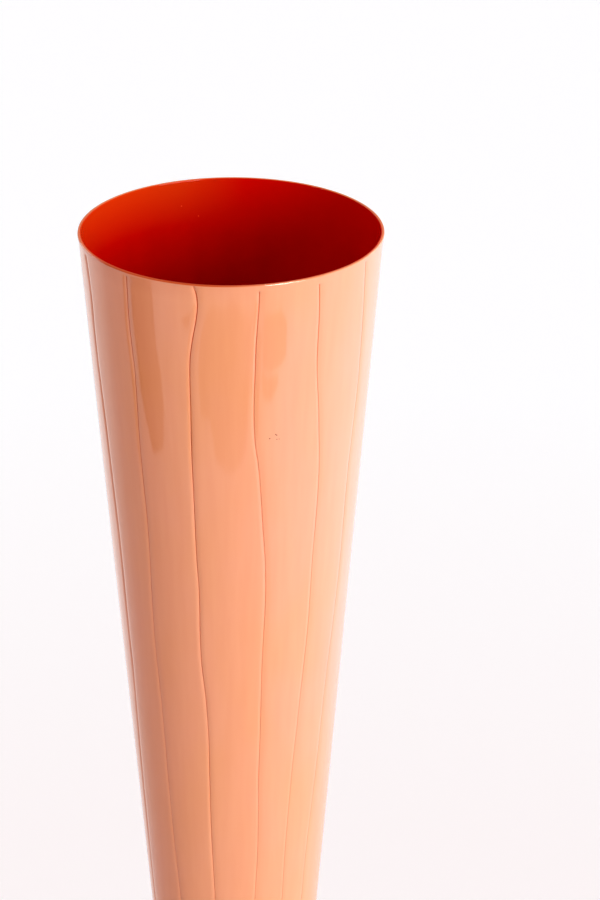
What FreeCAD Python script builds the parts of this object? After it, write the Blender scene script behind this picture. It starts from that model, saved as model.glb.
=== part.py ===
import FreeCAD, Part
import math
import os
import Sketcher

# A tall mouth-blown trumpet vase of cased glass, in millimetres.
# The origin is on the surface that the vase stands on, under its axis, with +Z up.
# The side that faces the viewer is -Y, and the angle of a crease is counted from there towards +X.

SIZES = (
    # The blown bubble, by its outer face: a straight cone that runs into a round end
    ("total_height", 540),
    ("rim_radius", 65),
    ("round_end_radius", 24.6),
    # The three glasses of its wall, each by its thickness at the lip, at the side of the round end
    # and on the axis at the bottom
    ("casing_lip_wall", 0.75),
    ("casing_end_wall", 1.9),
    ("casing_base_wall", 3.5),
    ("core_lip_wall", 0.3),
    ("core_end_wall", 0.55),
    ("core_base_wall", 0.8),
    ("lining_lip_wall", 0.45),
    ("lining_end_wall", 0.9),
    ("lining_base_wall", 1.2),
    ("casing_lip_round", 0.55),
    ("lining_lip_round", 0.3),
    # The creases that are drawn down the casing
    ("crease_count", 14),
    ("first_crease_angle", 11.4),
    ("crease_depth", 0.45),
    ("crease_left_width", 1.6),
    ("crease_right_width", 2.8),
    ("crease_overrun", 0.5),
    ("crease_top_gap", 3.6),
    ("crease_end_gap", 40),
    # The wafer between bubble and foot
    ("merese_web", 4),
    ("merese_seat_radius", 15.5),
    ("merese_base_radius", 16.5),
    ("merese_bulge_center_radius", 15),
    # The foot
    ("foot_height", 34),
    ("foot_radius", 56),
    ("foot_neck_radius", 14),
    ("foot_edge_height", 6),
    ("foot_ring_inner_radius", 38),
    ("foot_hollow_height", 1.8),
    ("pontil_radius", 12),
    ("pontil_depth", 1.4),
)

# How far each crease has wandered at places spread evenly from its top to its end, as shares of the
# pitch between two creases. The rows are the creases that face the viewer, from left to right.
CREASE_WANDER_SHARES = (
    (-0.17, -0.15, -0.12, -0.07, -0.01, -0.02, -0.03, -0.07, -0.10, -0.12, -0.11, -0.08, -0.05, -0.02, 0),
    (-0.07, -0.11, -0.10, -0.05, -0.01, -0.06, -0.02, 0.02, 0.05, 0.12, 0.13, 0.10, 0.06, 0.03, 0),
    (0.03, -0.05, -0.09, -0.08, -0.06, -0.06, 0.03, 0.05, 0.05, 0.09, 0.08, 0.04, 0.02, 0.03, 0.02),
    (-0.06, -0.08, -0.08, 0.05, 0.14, 0.15, 0.12, 0.11, 0.13, 0.09, 0.05, 0.02, 0.04, 0.05, 0.04),
    (-0.09, -0.07, 0.03, 0.12, 0.11, 0.10, 0.03, -0.04, -0.12, -0.15, -0.14, -0.10, -0.08, -0.05, -0.04),
    (-0.11, -0.01, 0.02, -0.06, -0.07, -0.10, -0.20, -0.27, -0.35, -0.38, -0.34, -0.28, -0.22, -0.16, -0.12),
)

# The first of those rows lies this many creases to the right of the one at first_crease_angle.
LEFTMOST_CREASE_STEP = -3

# How deep a crease is at the same places, as shares of its full depth. It fades on its way down,
# and its bottom rises out of the glass at its end.
CREASE_DEPTH_SHARES = (1, 1, 0.95, 0.9, 0.88, 0.85, 0.8, 0.76, 0.72, 0.68, 0.62, 0.55, 0.45, 0.3, -0.2)

# How far below the lip each crease starts, as shares of the widest such gap.
CREASE_TOP_SHARES = (1, 1, 0.3, 0.9, 1, 0.5, 0.8, 0.6, 1, 0.4, 0.9, 0.7, 1, 0.6)

# The faces of the wall, from the outside in: the radius at the lip, the radius of the round end and
# the height of the lowest point.
OUTSIDE = ("sizes.rim_radius", "sizes.round_end_radius", "sizes.foot_height + sizes.merese_web")
CASING_INSIDE = (
    OUTSIDE[0] + " - sizes.casing_lip_wall",
    OUTSIDE[1] + " - sizes.casing_end_wall",
    OUTSIDE[2] + " + sizes.casing_base_wall",
)
CORE_INSIDE = (
    CASING_INSIDE[0] + " - sizes.core_lip_wall",
    CASING_INSIDE[1] + " - sizes.core_end_wall",
    CASING_INSIDE[2] + " + sizes.core_base_wall",
)
LINING_INSIDE = (
    CORE_INSIDE[0] + " - sizes.lining_lip_wall",
    CORE_INSIDE[1] + " - sizes.lining_end_wall",
    CORE_INSIDE[2] + " + sizes.lining_base_wall",
)

# The numbers by which constraints know the points of a sketch item and the sketch's own axes.
START_INDEX, END_INDEX, CENTER_INDEX = 1, 2, 3
H_AXIS_INDEX, V_AXIS_INDEX = -1, -2
ORIGIN = (H_AXIS_INDEX, START_INDEX)


def make_sheet(doc):
    sheet = doc.addObject("Spreadsheet::Sheet", "sizes")
    for row, (alias, value) in enumerate(SIZES, start=1):
        sheet.set(f"A{row}", alias)
        sheet.set(f"B{row}", str(value))
        sheet.setAlias(f"B{row}", alias)
    doc.recompute()
    return sheet


def worth(sheet, expression):
    return float(sheet.evalExpression(expression))


def face_shape(sheet, face):
    """A wall face in numbers: the centre height and radius of its round end, and how far its side
    leans out. The side runs from the lip to where it touches the round end."""
    lip_radius, end_radius, lowest = (worth(sheet, expression) for expression in face)
    center = lowest + end_radius
    rise = sheet.total_height - center
    lean = math.acos(end_radius / math.hypot(lip_radius, rise)) - math.atan2(rise, lip_radius)
    return center, end_radius, lean


class Profile:
    """A sketch in a body's upright plane through the axis: x is the radius and y the height."""

    def __init__(self, doc, name):
        self.body = doc.addObject("PartDesign::Body", name)
        self.sheet = doc.getObject("sizes")
        plane = next(item for item in self.body.Origin.OriginFeatures if item.Role == "XZ_Plane")
        self.sketch = self.body.newObject("Sketcher::SketchObject", name + "_profile")
        self.sketch.AttachmentSupport = (plane, [""])
        self.sketch.MapMode = "FlatFace"

    def line(self, start, end):
        return self.sketch.addGeometry(Part.LineSegment(FreeCAD.Vector(*start), FreeCAD.Vector(*end)))

    def arc(self, center, radius, start_angle, end_angle):
        circle = Part.Circle(FreeCAD.Vector(*center), FreeCAD.Vector(0, 0, 1), radius)
        return self.sketch.addGeometry(Part.ArcOfCircle(circle, start_angle, end_angle))

    def corner(self, x, y):
        """A point that the outline is drawn towards, and that is not part of it."""
        point = self.sketch.addGeometry(Part.Point(FreeCAD.Vector(x, y, 0)))
        self.sketch.toggleConstruction(point)
        return point

    def arc_between(self, center, radius, start, end):
        start_angle, end_angle = (math.atan2(y - center[1], x - center[0]) for x, y in (start, end))
        return self.arc(center, radius, start_angle, end_angle)

    def hold(self, kind, *where):
        self.sketch.addConstraint(Sketcher.Constraint(kind, *where))

    def measure(self, kind, item, point, expression):
        """A driving distance from the origin to a point, bound to the sheet."""
        value = worth(self.sheet, expression)
        index = self.sketch.addConstraint(Sketcher.Constraint(kind, *ORIGIN, item, point, value))
        self.sketch.setExpression(f"Constraints[{index}]", expression)

    def radius(self, item, expression):
        value = worth(self.sheet, expression)
        index = self.sketch.addConstraint(Sketcher.Constraint("Radius", item, value))
        self.sketch.setExpression(f"Constraints[{index}]", expression)

    def place(self, item, point, radius_expression, height_expression):
        self.measure("DistanceX", item, point, radius_expression)
        self.measure("DistanceY", item, point, height_expression)

    def revolve(self):
        solid = self.body.newObject("PartDesign::Revolution", self.body.Name + "_turned")
        solid.Profile = self.sketch
        solid.ReferenceAxis = (self.sketch, ["V_Axis"])
        solid.Angle = 360
        return self.body


def add_round_end(profile, face, end_angle):
    """The round end of a wall face, from its lowest point on the axis outwards."""
    center, radius, _ = face_shape(profile.sheet, face)
    arc = profile.arc((0, center), radius, -math.pi / 2, end_angle)
    profile.hold("PointOnObject", arc, CENTER_INDEX, V_AXIS_INDEX)
    profile.hold("PointOnObject", arc, START_INDEX, V_AXIS_INDEX)
    profile.radius(arc, face[1])
    profile.measure("DistanceY", arc, START_INDEX, face[2])
    return arc


def add_wall_face(profile, face):
    """A whole wall face: its straight side, and the round end that it runs into. The side points at
    the corner that it makes with the lip, whether it reaches that corner or is rounded off first."""
    center, radius, lean = face_shape(profile.sheet, face)
    lip_radius = worth(profile.sheet, face[0])
    touch = (radius * math.cos(lean), center - radius * math.sin(lean))
    side = profile.line((lip_radius, profile.sheet.total_height), touch)
    end = add_round_end(profile, face, -lean)
    corner = profile.corner(lip_radius, profile.sheet.total_height)
    profile.hold("Tangent", side, END_INDEX, end, END_INDEX)
    profile.place(corner, START_INDEX, face[0], "sizes.total_height")
    profile.hold("PointOnObject", corner, START_INDEX, side)
    return side, end


def join_lip(profile, lip, lip_index, side, face, round_alias=None, inward=1):
    """Joins one end of the flat lip to a side, square, or melted round with the given radius. The
    glass lies inward of the side, or outward where inward is -1."""
    if round_alias is None:
        profile.hold("Coincident", lip, lip_index, side, START_INDEX)
        return
    _, _, lean = face_shape(profile.sheet, face)
    radius = worth(profile.sheet, "sizes." + round_alias)
    center_height = profile.sheet.total_height - radius
    across = worth(profile.sheet, face[0]) - radius * math.tan(lean) - inward * radius / math.cos(lean)
    if inward > 0:
        arc = profile.arc((across, center_height), radius, -lean, math.pi / 2)
        side_index, top_index = START_INDEX, END_INDEX
    else:
        arc = profile.arc((across, center_height), radius, math.pi / 2, math.pi - lean)
        side_index, top_index = END_INDEX, START_INDEX
    profile.hold("Tangent", arc, side_index, side, START_INDEX)
    profile.hold("Tangent", arc, top_index, lip, lip_index)
    profile.radius(arc, "sizes." + round_alias)


def make_spline(profile, side):
    """Draws a straight side as a spline that lies on it. Cuts in the face that it turns into keep
    the face close to its true curve between them."""
    profile.sketch.solve()
    profile.sketch.toggleConstruction(side)
    ends = [profile.sketch.getPoint(side, index) for index in (START_INDEX, END_INDEX)]
    curve = Part.BSplineCurve()
    curve.buildFromPoles(ends, False, 1)
    spline = profile.sketch.addGeometry(curve)
    profile.hold("Coincident", spline, START_INDEX, side, START_INDEX)
    profile.hold("Coincident", spline, END_INDEX, side, END_INDEX)


def make_wall_layer(doc, name, outer_face, inner_face, outer_round=None, inner_round=None):
    """One glass of the wall, between two of its faces, with its corners at the lip square or round."""
    profile = Profile(doc, name)
    sheet = profile.sheet
    outer_side, outer_end = add_wall_face(profile, outer_face)
    inner_side, inner_end = add_wall_face(profile, inner_face)
    lip = profile.line(
        (worth(sheet, inner_face[0]), sheet.total_height),
        (worth(sheet, outer_face[0]), sheet.total_height),
    )
    base = profile.line((0, worth(sheet, outer_face[2])), (0, worth(sheet, inner_face[2])))
    profile.hold("Horizontal", lip)
    profile.measure("DistanceY", lip, START_INDEX, "sizes.total_height")
    join_lip(profile, lip, END_INDEX, outer_side, outer_face, outer_round)
    join_lip(profile, lip, START_INDEX, inner_side, inner_face, inner_round, inward=-1)
    profile.hold("Coincident", base, START_INDEX, outer_end, START_INDEX)
    profile.hold("Coincident", base, END_INDEX, inner_end, START_INDEX)
    return profile, outer_side


def crease_section(sheet, angle, height, depth_share):
    """The triangle of a crease in a level plane: its point in the glass, its open side outside it."""
    _, _, lean = face_shape(sheet, OUTSIDE)
    surface = sheet.rim_radius - (sheet.total_height - height) * math.tan(lean)
    outward = FreeCAD.Vector(math.sin(angle), -math.cos(angle), 0)
    rightward = FreeCAD.Vector(math.cos(angle), math.sin(angle), 0)
    level = FreeCAD.Vector(0, 0, height)
    depth = sheet.crease_depth * depth_share
    spread_share = (depth + sheet.crease_overrun) / sheet.crease_depth
    bottom = level + outward * (surface - depth)
    opening = level + outward * (surface + sheet.crease_overrun)
    left = opening - rightward * (sheet.crease_left_width * spread_share)
    right = opening + rightward * (sheet.crease_right_width * spread_share)
    return Part.makePolygon([bottom, right, left, bottom])


def crease_wander_shares(number, count):
    """The creases on the far side take the rows of the near side again, the other way round."""
    rows = len(CREASE_WANDER_SHARES)
    if number < rows:
        return CREASE_WANDER_SHARES[number]
    mirrored = CREASE_WANDER_SHARES[(count - 1 - number) % rows]
    return tuple(-share for share in mirrored)


def crease_tool(sheet, number):
    """The body of air in one crease, from its square top below the lip to where it fades out."""
    count = round(sheet.crease_count)
    pitch = 2 * math.pi / count
    straight_angle = math.radians(sheet.first_crease_angle) + (number + LEFTMOST_CREASE_STEP) * pitch
    top_share = CREASE_TOP_SHARES[number % len(CREASE_TOP_SHARES)]
    top_height = sheet.total_height - sheet.crease_top_gap * top_share
    end_height = worth(sheet, OUTSIDE[2]) + sheet.crease_end_gap
    way_down = top_height - end_height
    last_place = len(CREASE_DEPTH_SHARES) - 1
    wander_shares = crease_wander_shares(number, count)
    sections = []
    for place, (wander_share, depth_share) in enumerate(zip(wander_shares, CREASE_DEPTH_SHARES)):
        angle = straight_angle + wander_share * pitch
        height = top_height - way_down * place / last_place
        sections.append(crease_section(sheet, angle, height, depth_share))
    return Part.makeLoft(sections, True, False)


def make_outer_casing(doc):
    profile, side = make_wall_layer(
        doc, "casing_blank", OUTSIDE, CASING_INSIDE, outer_round="casing_lip_round"
    )
    make_spline(profile, side)
    count = round(profile.sheet.crease_count)
    creases = doc.addObject("Part::Feature", "creases")
    creases.Shape = Part.Compound([crease_tool(profile.sheet, number) for number in range(count)])
    casing = doc.addObject("Part::Cut", "outer_casing")
    casing.Base = profile.revolve()
    casing.Tool = creases
    return casing


def make_opal_core(doc):
    profile, _ = make_wall_layer(doc, "opal_core", CASING_INSIDE, CORE_INSIDE)
    return profile.revolve()


def make_inner_lining(doc):
    profile, _ = make_wall_layer(
        doc, "inner_lining", CORE_INSIDE, LINING_INSIDE, inner_round="lining_lip_round"
    )
    return profile.revolve()


def make_merese(doc):
    """The wafer that the bubble sits in: a cup on top, a bulging edge and a flat underside."""
    profile = Profile(doc, "merese")
    sheet = profile.sheet
    center, radius, _ = face_shape(sheet, OUTSIDE)
    seat_angle = -math.acos(sheet.merese_seat_radius / radius)
    seat = (sheet.merese_seat_radius, center + radius * math.sin(seat_angle))
    base = (sheet.merese_base_radius, sheet.foot_height)
    bulge_center, bulge_radius = arc_center_on(sheet.merese_bulge_center_radius, base, seat)

    cup = add_round_end(profile, OUTSIDE, seat_angle)
    bulge = profile.arc_between(bulge_center, bulge_radius, base, seat)
    underside = profile.line((0, sheet.foot_height), base)
    axis = profile.line((0, center - radius), (0, sheet.foot_height))
    profile.hold("Coincident", cup, END_INDEX, bulge, END_INDEX)
    profile.hold("Coincident", bulge, START_INDEX, underside, END_INDEX)
    profile.hold("Coincident", underside, START_INDEX, axis, END_INDEX)
    profile.hold("Coincident", axis, START_INDEX, cup, START_INDEX)
    profile.hold("PointOnObject", axis, END_INDEX, V_AXIS_INDEX)
    profile.hold("Horizontal", underside)
    profile.measure("DistanceX", cup, END_INDEX, "sizes.merese_seat_radius")
    profile.place(underside, END_INDEX, "sizes.merese_base_radius", "sizes.foot_height")
    profile.measure("DistanceX", bulge, CENTER_INDEX, "sizes.merese_bulge_center_radius")
    return profile.revolve()


def make_foot(doc):
    """The disc foot: a hollow-sided cone on a thin disc with a round edge. It stands on a ground ring,
    and its underside is slightly hollow, with the polished hollow of the pontil mark in the middle."""
    profile = Profile(doc, "foot")
    sheet = profile.sheet
    neck = (sheet.foot_neck_radius, sheet.foot_height)
    edge_radius = sheet.foot_edge_height / 2
    edge_center = (sheet.foot_radius - edge_radius, edge_radius)
    edge_top = (edge_center[0], sheet.foot_edge_height)
    edge_foot = (edge_center[0], 0)
    ring = (sheet.foot_ring_inner_radius, 0)
    hollow = (sheet.pontil_radius, sheet.foot_hollow_height)
    pontil = (0, sheet.foot_hollow_height + sheet.pontil_depth)

    # Each round stretch is an arc whose centre lies on a known upright line.
    slope_center, slope_radius = arc_center_on(edge_top[0], edge_top, neck)
    hollow_center, hollow_radius = arc_center_on(0, ring, hollow)
    pontil_center, pontil_arc_radius = arc_center_on(0, hollow, pontil)

    top = profile.line((0, sheet.foot_height), neck)
    slope = profile.arc_between(slope_center, slope_radius, neck, edge_top)
    edge = profile.arc_between(edge_center, edge_radius, edge_foot, edge_top)
    ring_face = profile.line(edge_foot, ring)
    underside = profile.arc_between(hollow_center, hollow_radius, ring, hollow)
    dish = profile.arc_between(pontil_center, pontil_arc_radius, hollow, pontil)
    axis = profile.line(pontil, (0, sheet.foot_height))

    profile.hold("Coincident", top, END_INDEX, slope, START_INDEX)
    profile.hold("Coincident", slope, END_INDEX, edge, END_INDEX)
    profile.hold("Coincident", edge, START_INDEX, ring_face, START_INDEX)
    profile.hold("Coincident", ring_face, END_INDEX, underside, START_INDEX)
    profile.hold("Coincident", underside, END_INDEX, dish, START_INDEX)
    profile.hold("Coincident", dish, END_INDEX, axis, START_INDEX)
    profile.hold("Coincident", axis, END_INDEX, top, START_INDEX)
    profile.hold("PointOnObject", axis, START_INDEX, V_AXIS_INDEX)
    profile.hold("PointOnObject", axis, END_INDEX, V_AXIS_INDEX)
    profile.hold("PointOnObject", underside, CENTER_INDEX, V_AXIS_INDEX)
    profile.hold("PointOnObject", dish, CENTER_INDEX, V_AXIS_INDEX)
    profile.hold("PointOnObject", edge, START_INDEX, H_AXIS_INDEX)
    profile.hold("PointOnObject", ring_face, END_INDEX, H_AXIS_INDEX)
    profile.hold("Vertical", edge, START_INDEX, edge, CENTER_INDEX)
    profile.hold("Vertical", edge, END_INDEX, edge, CENTER_INDEX)
    profile.hold("Vertical", slope, END_INDEX, slope, CENTER_INDEX)
    profile.hold("Horizontal", top)
    profile.place(top, END_INDEX, "sizes.foot_neck_radius", "sizes.foot_height")
    profile.measure("DistanceX", slope, END_INDEX, "sizes.foot_radius - sizes.foot_edge_height / 2")
    profile.measure("DistanceY", slope, END_INDEX, "sizes.foot_edge_height")
    profile.measure("DistanceX", ring_face, END_INDEX, "sizes.foot_ring_inner_radius")
    profile.place(underside, END_INDEX, "sizes.pontil_radius", "sizes.foot_hollow_height")
    profile.measure("DistanceY", dish, END_INDEX, "sizes.foot_hollow_height + sizes.pontil_depth")
    return profile.revolve()


def arc_center_on(upright, first, second):
    """The centre on the upright line at that radius which is as far from both points, and how far."""
    squares = (second[0] - upright) ** 2 - (first[0] - upright) ** 2 + second[1] ** 2 - first[1] ** 2
    height = squares / (2 * (second[1] - first[1]))
    return (upright, height), math.hypot(first[0] - upright, first[1] - height)


def check(doc, sub_parts):
    for item in doc.Objects:
        if "Invalid" in item.State or "Error" in item.State:
            raise RuntimeError(f"{item.Name} failed: {item.State}")
    for item in sub_parts:
        if item.Shape.isNull() or not item.Shape.isValid():
            raise RuntimeError(f"{item.Label} has no valid shape")
        if len(item.Shape.Solids) != 1:
            raise RuntimeError(f"{item.Label} is {len(item.Shape.Solids)} solids, not one")


def main():
    doc = FreeCAD.newDocument("trumpet_vase")
    make_sheet(doc)
    sub_parts = [
        make_inner_lining(doc),
        make_opal_core(doc),
        make_outer_casing(doc),
        make_merese(doc),
        make_foot(doc),
    ]
    doc.recompute()
    check(doc, sub_parts)
    os.makedirs("parts", exist_ok=True)
    for item in sub_parts:
        item.Shape.exportStep(f"parts/{item.Label}.step")
        print(item.Label, "volume", round(item.Shape.Volume), "faces", len(item.Shape.Faces))


main()
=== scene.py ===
"""A tall trumpet vase of mouth-blown cased glass, on a white floor under soft studio light."""

from math import acos, atan, atan2, cos, exp, hypot, pi, radians, sin, tan

import bpy
from bpy.props import FloatProperty, FloatVectorProperty, IntProperty, PointerProperty
from mathutils import Matrix, Vector


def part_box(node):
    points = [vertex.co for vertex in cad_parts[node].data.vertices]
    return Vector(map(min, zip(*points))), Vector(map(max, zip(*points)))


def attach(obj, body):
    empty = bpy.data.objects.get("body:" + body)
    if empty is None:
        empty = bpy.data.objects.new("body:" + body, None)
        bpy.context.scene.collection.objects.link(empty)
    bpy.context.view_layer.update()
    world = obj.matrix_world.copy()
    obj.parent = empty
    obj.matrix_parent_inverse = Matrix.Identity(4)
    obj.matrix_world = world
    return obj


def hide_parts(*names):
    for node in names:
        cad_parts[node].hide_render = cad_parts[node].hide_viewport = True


bl_info = {
    "name": "Trumpet vase",
    "version": (1, 0, 0),
    "blender": (4, 5, 0),
    "location": "View3D > Sidebar > Vase",
    "description": "Builds a mouth-blown cased glass vase around its packed frame",
    "category": "Add Mesh",
}

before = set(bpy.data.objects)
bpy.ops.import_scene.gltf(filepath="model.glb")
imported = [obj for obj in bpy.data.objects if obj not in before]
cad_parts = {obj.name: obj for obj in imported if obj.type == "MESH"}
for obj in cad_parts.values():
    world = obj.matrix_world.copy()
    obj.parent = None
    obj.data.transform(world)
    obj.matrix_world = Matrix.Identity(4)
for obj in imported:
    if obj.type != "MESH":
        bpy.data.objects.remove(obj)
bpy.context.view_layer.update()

# One millimetre in the scene's metres
MM = 0.001


def linear(hex_colour):
    """The linear red, green, blue and alpha of an sRGB hex colour."""
    shares = [int(hex_colour[place:place + 2], 16) / 255 for place in (1, 3, 5)]
    return [s / 12.92 if s <= 0.04045 else ((s + 0.055) / 1.055) ** 2.4 for s in shares] + [1.0]


def length(name, description, millimetres):
    """A property that holds a length, given in millimetres and kept in metres."""
    return FloatProperty(
        name=name, description=description, default=millimetres * MM, unit="LENGTH", precision=5
    )


def degrees(name, description, turn):
    """A property that holds an angle, given in degrees and kept in radians."""
    return FloatProperty(name=name, description=description, default=radians(turn), subtype="ANGLE")


def number(name, description, default):
    """A property that holds a plain number."""
    return FloatProperty(name=name, description=description, default=default)


def colour(name, description, hex_colour):
    """A property that holds a colour."""
    return FloatVectorProperty(
        name=name, description=description, default=linear(hex_colour),
        subtype="COLOR", size=4, min=0, max=1,
    )


def lowest(node):
    """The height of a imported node's lowest point, in millimetres."""
    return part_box(node)[0].z / MM


def highest(node):
    """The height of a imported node's highest point, in millimetres."""
    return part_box(node)[1].z / MM


def reach(node):
    """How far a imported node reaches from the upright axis, in millimetres."""
    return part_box(node)[1].x / MM


class VaseShape(bpy.types.PropertyGroup):
    """Sizes of the vase."""

    height: length("Height", "From the floor to the lip", highest("outer_casing"))
    rim_radius: length("Rim radius", "Half the width of the mouth, outside", 65)
    end_radius: length("End radius", "Radius of the round lower end, outside", 24.6)
    end_height: length("End height", "Lowest point of the round end", lowest("outer_casing"))
    casing_at_lip: length("Casing at lip", "Thickness of the peach casing at the lip", 0.75)
    casing_at_end: length("Casing at end", "Thickness of the casing where the end is round", 1.9)
    casing_at_base: length("Casing at base", "Thickness of the casing at its lowest point", 3.5)
    core_at_lip: length("Core at lip", "Thickness of the opal core at the lip", 0.3)
    core_at_end: length("Core at end", "Thickness of the core where the end is round", 0.55)
    core_at_base: length("Core at base", "Thickness of the core at its lowest point", 0.8)
    lining_at_lip: length("Lining at lip", "Thickness of the orange lining at the lip", 0.45)
    lining_at_end: length("Lining at end", "Thickness of the lining where the end is round", 0.9)
    lining_at_base: length("Lining at base", "Thickness of the lining at its lowest point", 1.2)
    outer_lip_round: length("Outer lip round", "Rounding of the lip's outer edge", 0.55)
    inner_lip_round: length("Inner lip round", "Rounding of the lip's inner edge", 0.3)
    crease_count: IntProperty(
        name="Creases", description="Upright creases round the casing", default=14, min=1
    )
    first_crease: degrees("First crease", "Turn of the first crease right of the front", 11.4)
    crease_depth: length("Crease depth", "Depth of a crease's sloping sides", 0.45)
    crease_left: length("Crease left", "Width of a crease's left side", 1.6)
    crease_right: length("Crease right", "Width of a crease's right side", 2.8)
    crease_slit: length("Crease slit", "Depth of the fine slit along a crease's middle", 0.3)
    crease_top_gap: length("Crease top gap", "From the lip to the lowest start of a crease", 3.6)
    crease_end_gap: length("Crease end gap", "From the lowest point up to the creases", 40)
    sway: length("Sway", "How far the blown wall strays from a true cone", 0.05)
    merese_radius: length("Merese radius", "Largest radius of the joining wafer", reach("merese"))
    merese_seat: length("Merese seat", "Radius of the cup that holds the round end", 15.5)
    merese_base: length("Merese base", "Radius of the wafer's lower face", 16.5)
    fused: length("Fused depth", "How far the wafer runs into the glass it is fused to", 0.05)
    foot_height: length("Foot height", "From the floor to the foot's top", highest("foot"))
    foot_radius: length("Foot radius", "Radius of the foot's edge", reach("foot"))
    foot_neck: length("Foot neck", "Radius of the foot where it meets the wafer", 14)
    foot_edge: length("Foot edge", "Thickness of the foot's edge", 6)
    foot_ring: length("Foot ring", "Inner radius of the ground ring that it stands on", 38)
    foot_hollow: length("Foot hollow", "Rise of the underside inside the ring", 1.8)
    pontil_radius: length("Pontil radius", "Radius of the polished pontil mark", 12)
    pontil_depth: length("Pontil depth", "Depth of the polished pontil mark", 1.4)


class VaseColours(bpy.types.PropertyGroup):
    """Colours of the glasses."""

    peach: colour("Peach", "Casing glass", "#F0A678")
    peach_pink: colour("Pink peach", "Paler and pinker areas of the casing", "#F1A781")
    lip: colour("Lip", "Where the three glasses run together at the lip", "#EA8660")
    lip_deep: colour("Deep lip", "Where the orange glass is drawn over the lip", "#C24E1A")
    # At the back the lip is painted pale: partly the peach glass over it and partly a painted
    # highlight where it catches the light
    lip_pale_and_highlight: colour("Pale lip", "Where the peach glass covers the lip, at the back", "#E2925A")
    # Along the creases this colour is partly thicker glass in the fold and partly painted shade in
    # the groove; it also tints the swung streaks
    crease: colour("Crease", "Thick glass seen along a crease", "#CC4E10")
    speck: colour("Speck", "Specks of furnace dirt in the casing", "#8E4A2C")
    opal: colour("Opal", "White opal core", "#F4ECE2")
    orange: colour("Orange", "Lining glass", "#BE0400")
    orange_deep: colour("Deep orange", "Thicker streaks of the lining", "#B80300")
    # Painted light: the lining is painted lighter near the lip, and more orange there on the left,
    # where light falls into the mouth
    orange_painted_light: colour("Bright orange", "Lining glass near the lip", "#C80500")
    orange_painted_light_left: colour("Thin orange", "Lining glass by the lip, on its thinnest side", "#C52F04")
    # Painted highlights: lighter spots on the lining that stand in for small sparkles of light
    seed: colour("Seed", "Tiny bubbles in the lining", "#E0402C")
    clear: colour("Clear", "Foot and wafer", "#FAFBF9")
    clear_shadow: colour("Clear shadow", "Light that each face of clear glass lets on", "#E6E9E8")


class VaseStudio(bpy.types.PropertyGroup):
    """Camera, light and floor."""

    lens: number("Lens", "Focal length in mm", 160)
    distance: length("Distance", "From the camera to the rim's centre", 1695.85)
    camera_rise: degrees("Camera rise", "How steeply the camera looks down at the rim", 20.87)
    camera_roll: degrees("Camera roll", "Turn of the camera about its own view", 0.3)
    rim_right_px: number("Rim right", "Rim right of the picture's centre, in pixels", -67.8)
    rim_up_px: number("Rim up", "Rim above the picture's centre, in pixels", 220.6)
    key_power: number("Key power", "Strength of the key light", 2.85)
    key: colour("Key", "Colour of the key light", "#FFFFFF")
    side_power: number("Side power", "Strength of the side light", 1.5)
    side: colour("Side", "Colour of the side light", "#FFFAFF")
    back_power: number("Back power", "Strength of the back light", 0.35)
    back: colour("Back", "Colour of the back light", "#FFC09C")
    fill_power: number("Fill power", "Strength of the fill light", 0.45)
    fill: colour("Fill", "Colour of the warm fill light", "#FFA07C")
    room_power: number("Room power", "Light that the pale room throws back", 0.52)
    room: colour("Room", "Warm walls that throw light back", "#FFD1B2")
    ceiling: colour("Ceiling", "Dim warm ceiling, where glass mirrors it", "#6A4E42")
    floor: colour("Floor", "Cool white table top, which the warm room evens out", "#B4BEC8")
    glow_near: colour("Near glow", "Added to the floor by the vase, where it is seen", "#BFC3C8")
    glow_far: colour("Far glow", "Added to the floor further away, where it is seen", "#C3CFD5")


# How far each crease strays from its upright, in millimetres measured round the rim, at stations
# that stand close together near the lip and further apart below. The rows are the creases from the
# left edge of the front to the right edge, and the ones behind repeat them turned about.
CREASE_DRIFTS = (
    (-5.8, -5.2, -4.3, -3.6, -3.8, -4.4, -4.3, -3.6, -2.8, -1.9, -1.2, -0.5, 0.3, 0.3, -0.2,
     -0.2, -0.1, -1.3, -2.6, -3.7, -4.5, -5.0, -4.7, -4.0, -3.2, -2.4, -1.6, -0.8, 0.0),
    (-2.2, -2.4, -2.6, -2.9, -2.9, -2.4, -1.9, -2.1, -2.4, -2.4, -2.1, -1.6, -1.7, -2.4, -2.9,
     -2.9, -1.9, -1.3, -1.1, -0.7, 0.1, 1.6, 2.5, 2.7, 2.5, 2.1, 1.5, 0.7, 0.0),
    (0.2, 1.3, 1.9, 1.0, -0.8, -2.3, -2.7, -2.8, -3.1, -3.1, -2.9, -2.8, -2.6, -1.9, -2.3,
     -2.1, -0.2, 0.7, 0.5, 0.3, 0.7, 1.5, 1.9, 1.7, 1.3, 1.0, 0.8, 0.6, 0.6),
    (-1.3, -1.3, -1.5, -1.9, -2.4, -2.6, -2.9, -3.0, -2.3, -0.3, 1.1, 2.4, 3.9, 4.5, 4.0,
     3.4, 3.3, 3.2, 2.9, 3.3, 3.3, 2.2, 1.6, 1.1, 0.7, 0.6, 0.8, 1.0, 1.1),
    (-3.2, -3.0, -2.6, -2.3, -2.2, -2.1, -1.2, 0.4, 1.7, 3.0, 3.6, 3.4, 2.8, 2.8, 2.8,
     1.8, 0.4, -1.0, -2.5, -3.5, -4.3, -4.6, -4.4, -4.0, -3.3, -2.7, -2.1, -1.6, -1.2),
    (-3.1, -2.8, -2.2, -1.5, -0.7, -0.1, 0.3, 0.6, 0.1, -1.0, -1.8, -1.8, -1.6, -1.6, -2.6,
     -4.3, -6.0, -7.0, -7.9, -9.6, -11.6, -12.8, -12.6, -11.6, -10.2, -8.6, -7.0, -5.2, -3.5),
)
# How much closer the stations stand near the lip
STATION_CROWDING = 1.5
# The first row stands this many creases left of the first crease
CREASES_LEFT_OF_FIRST = 3
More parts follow.
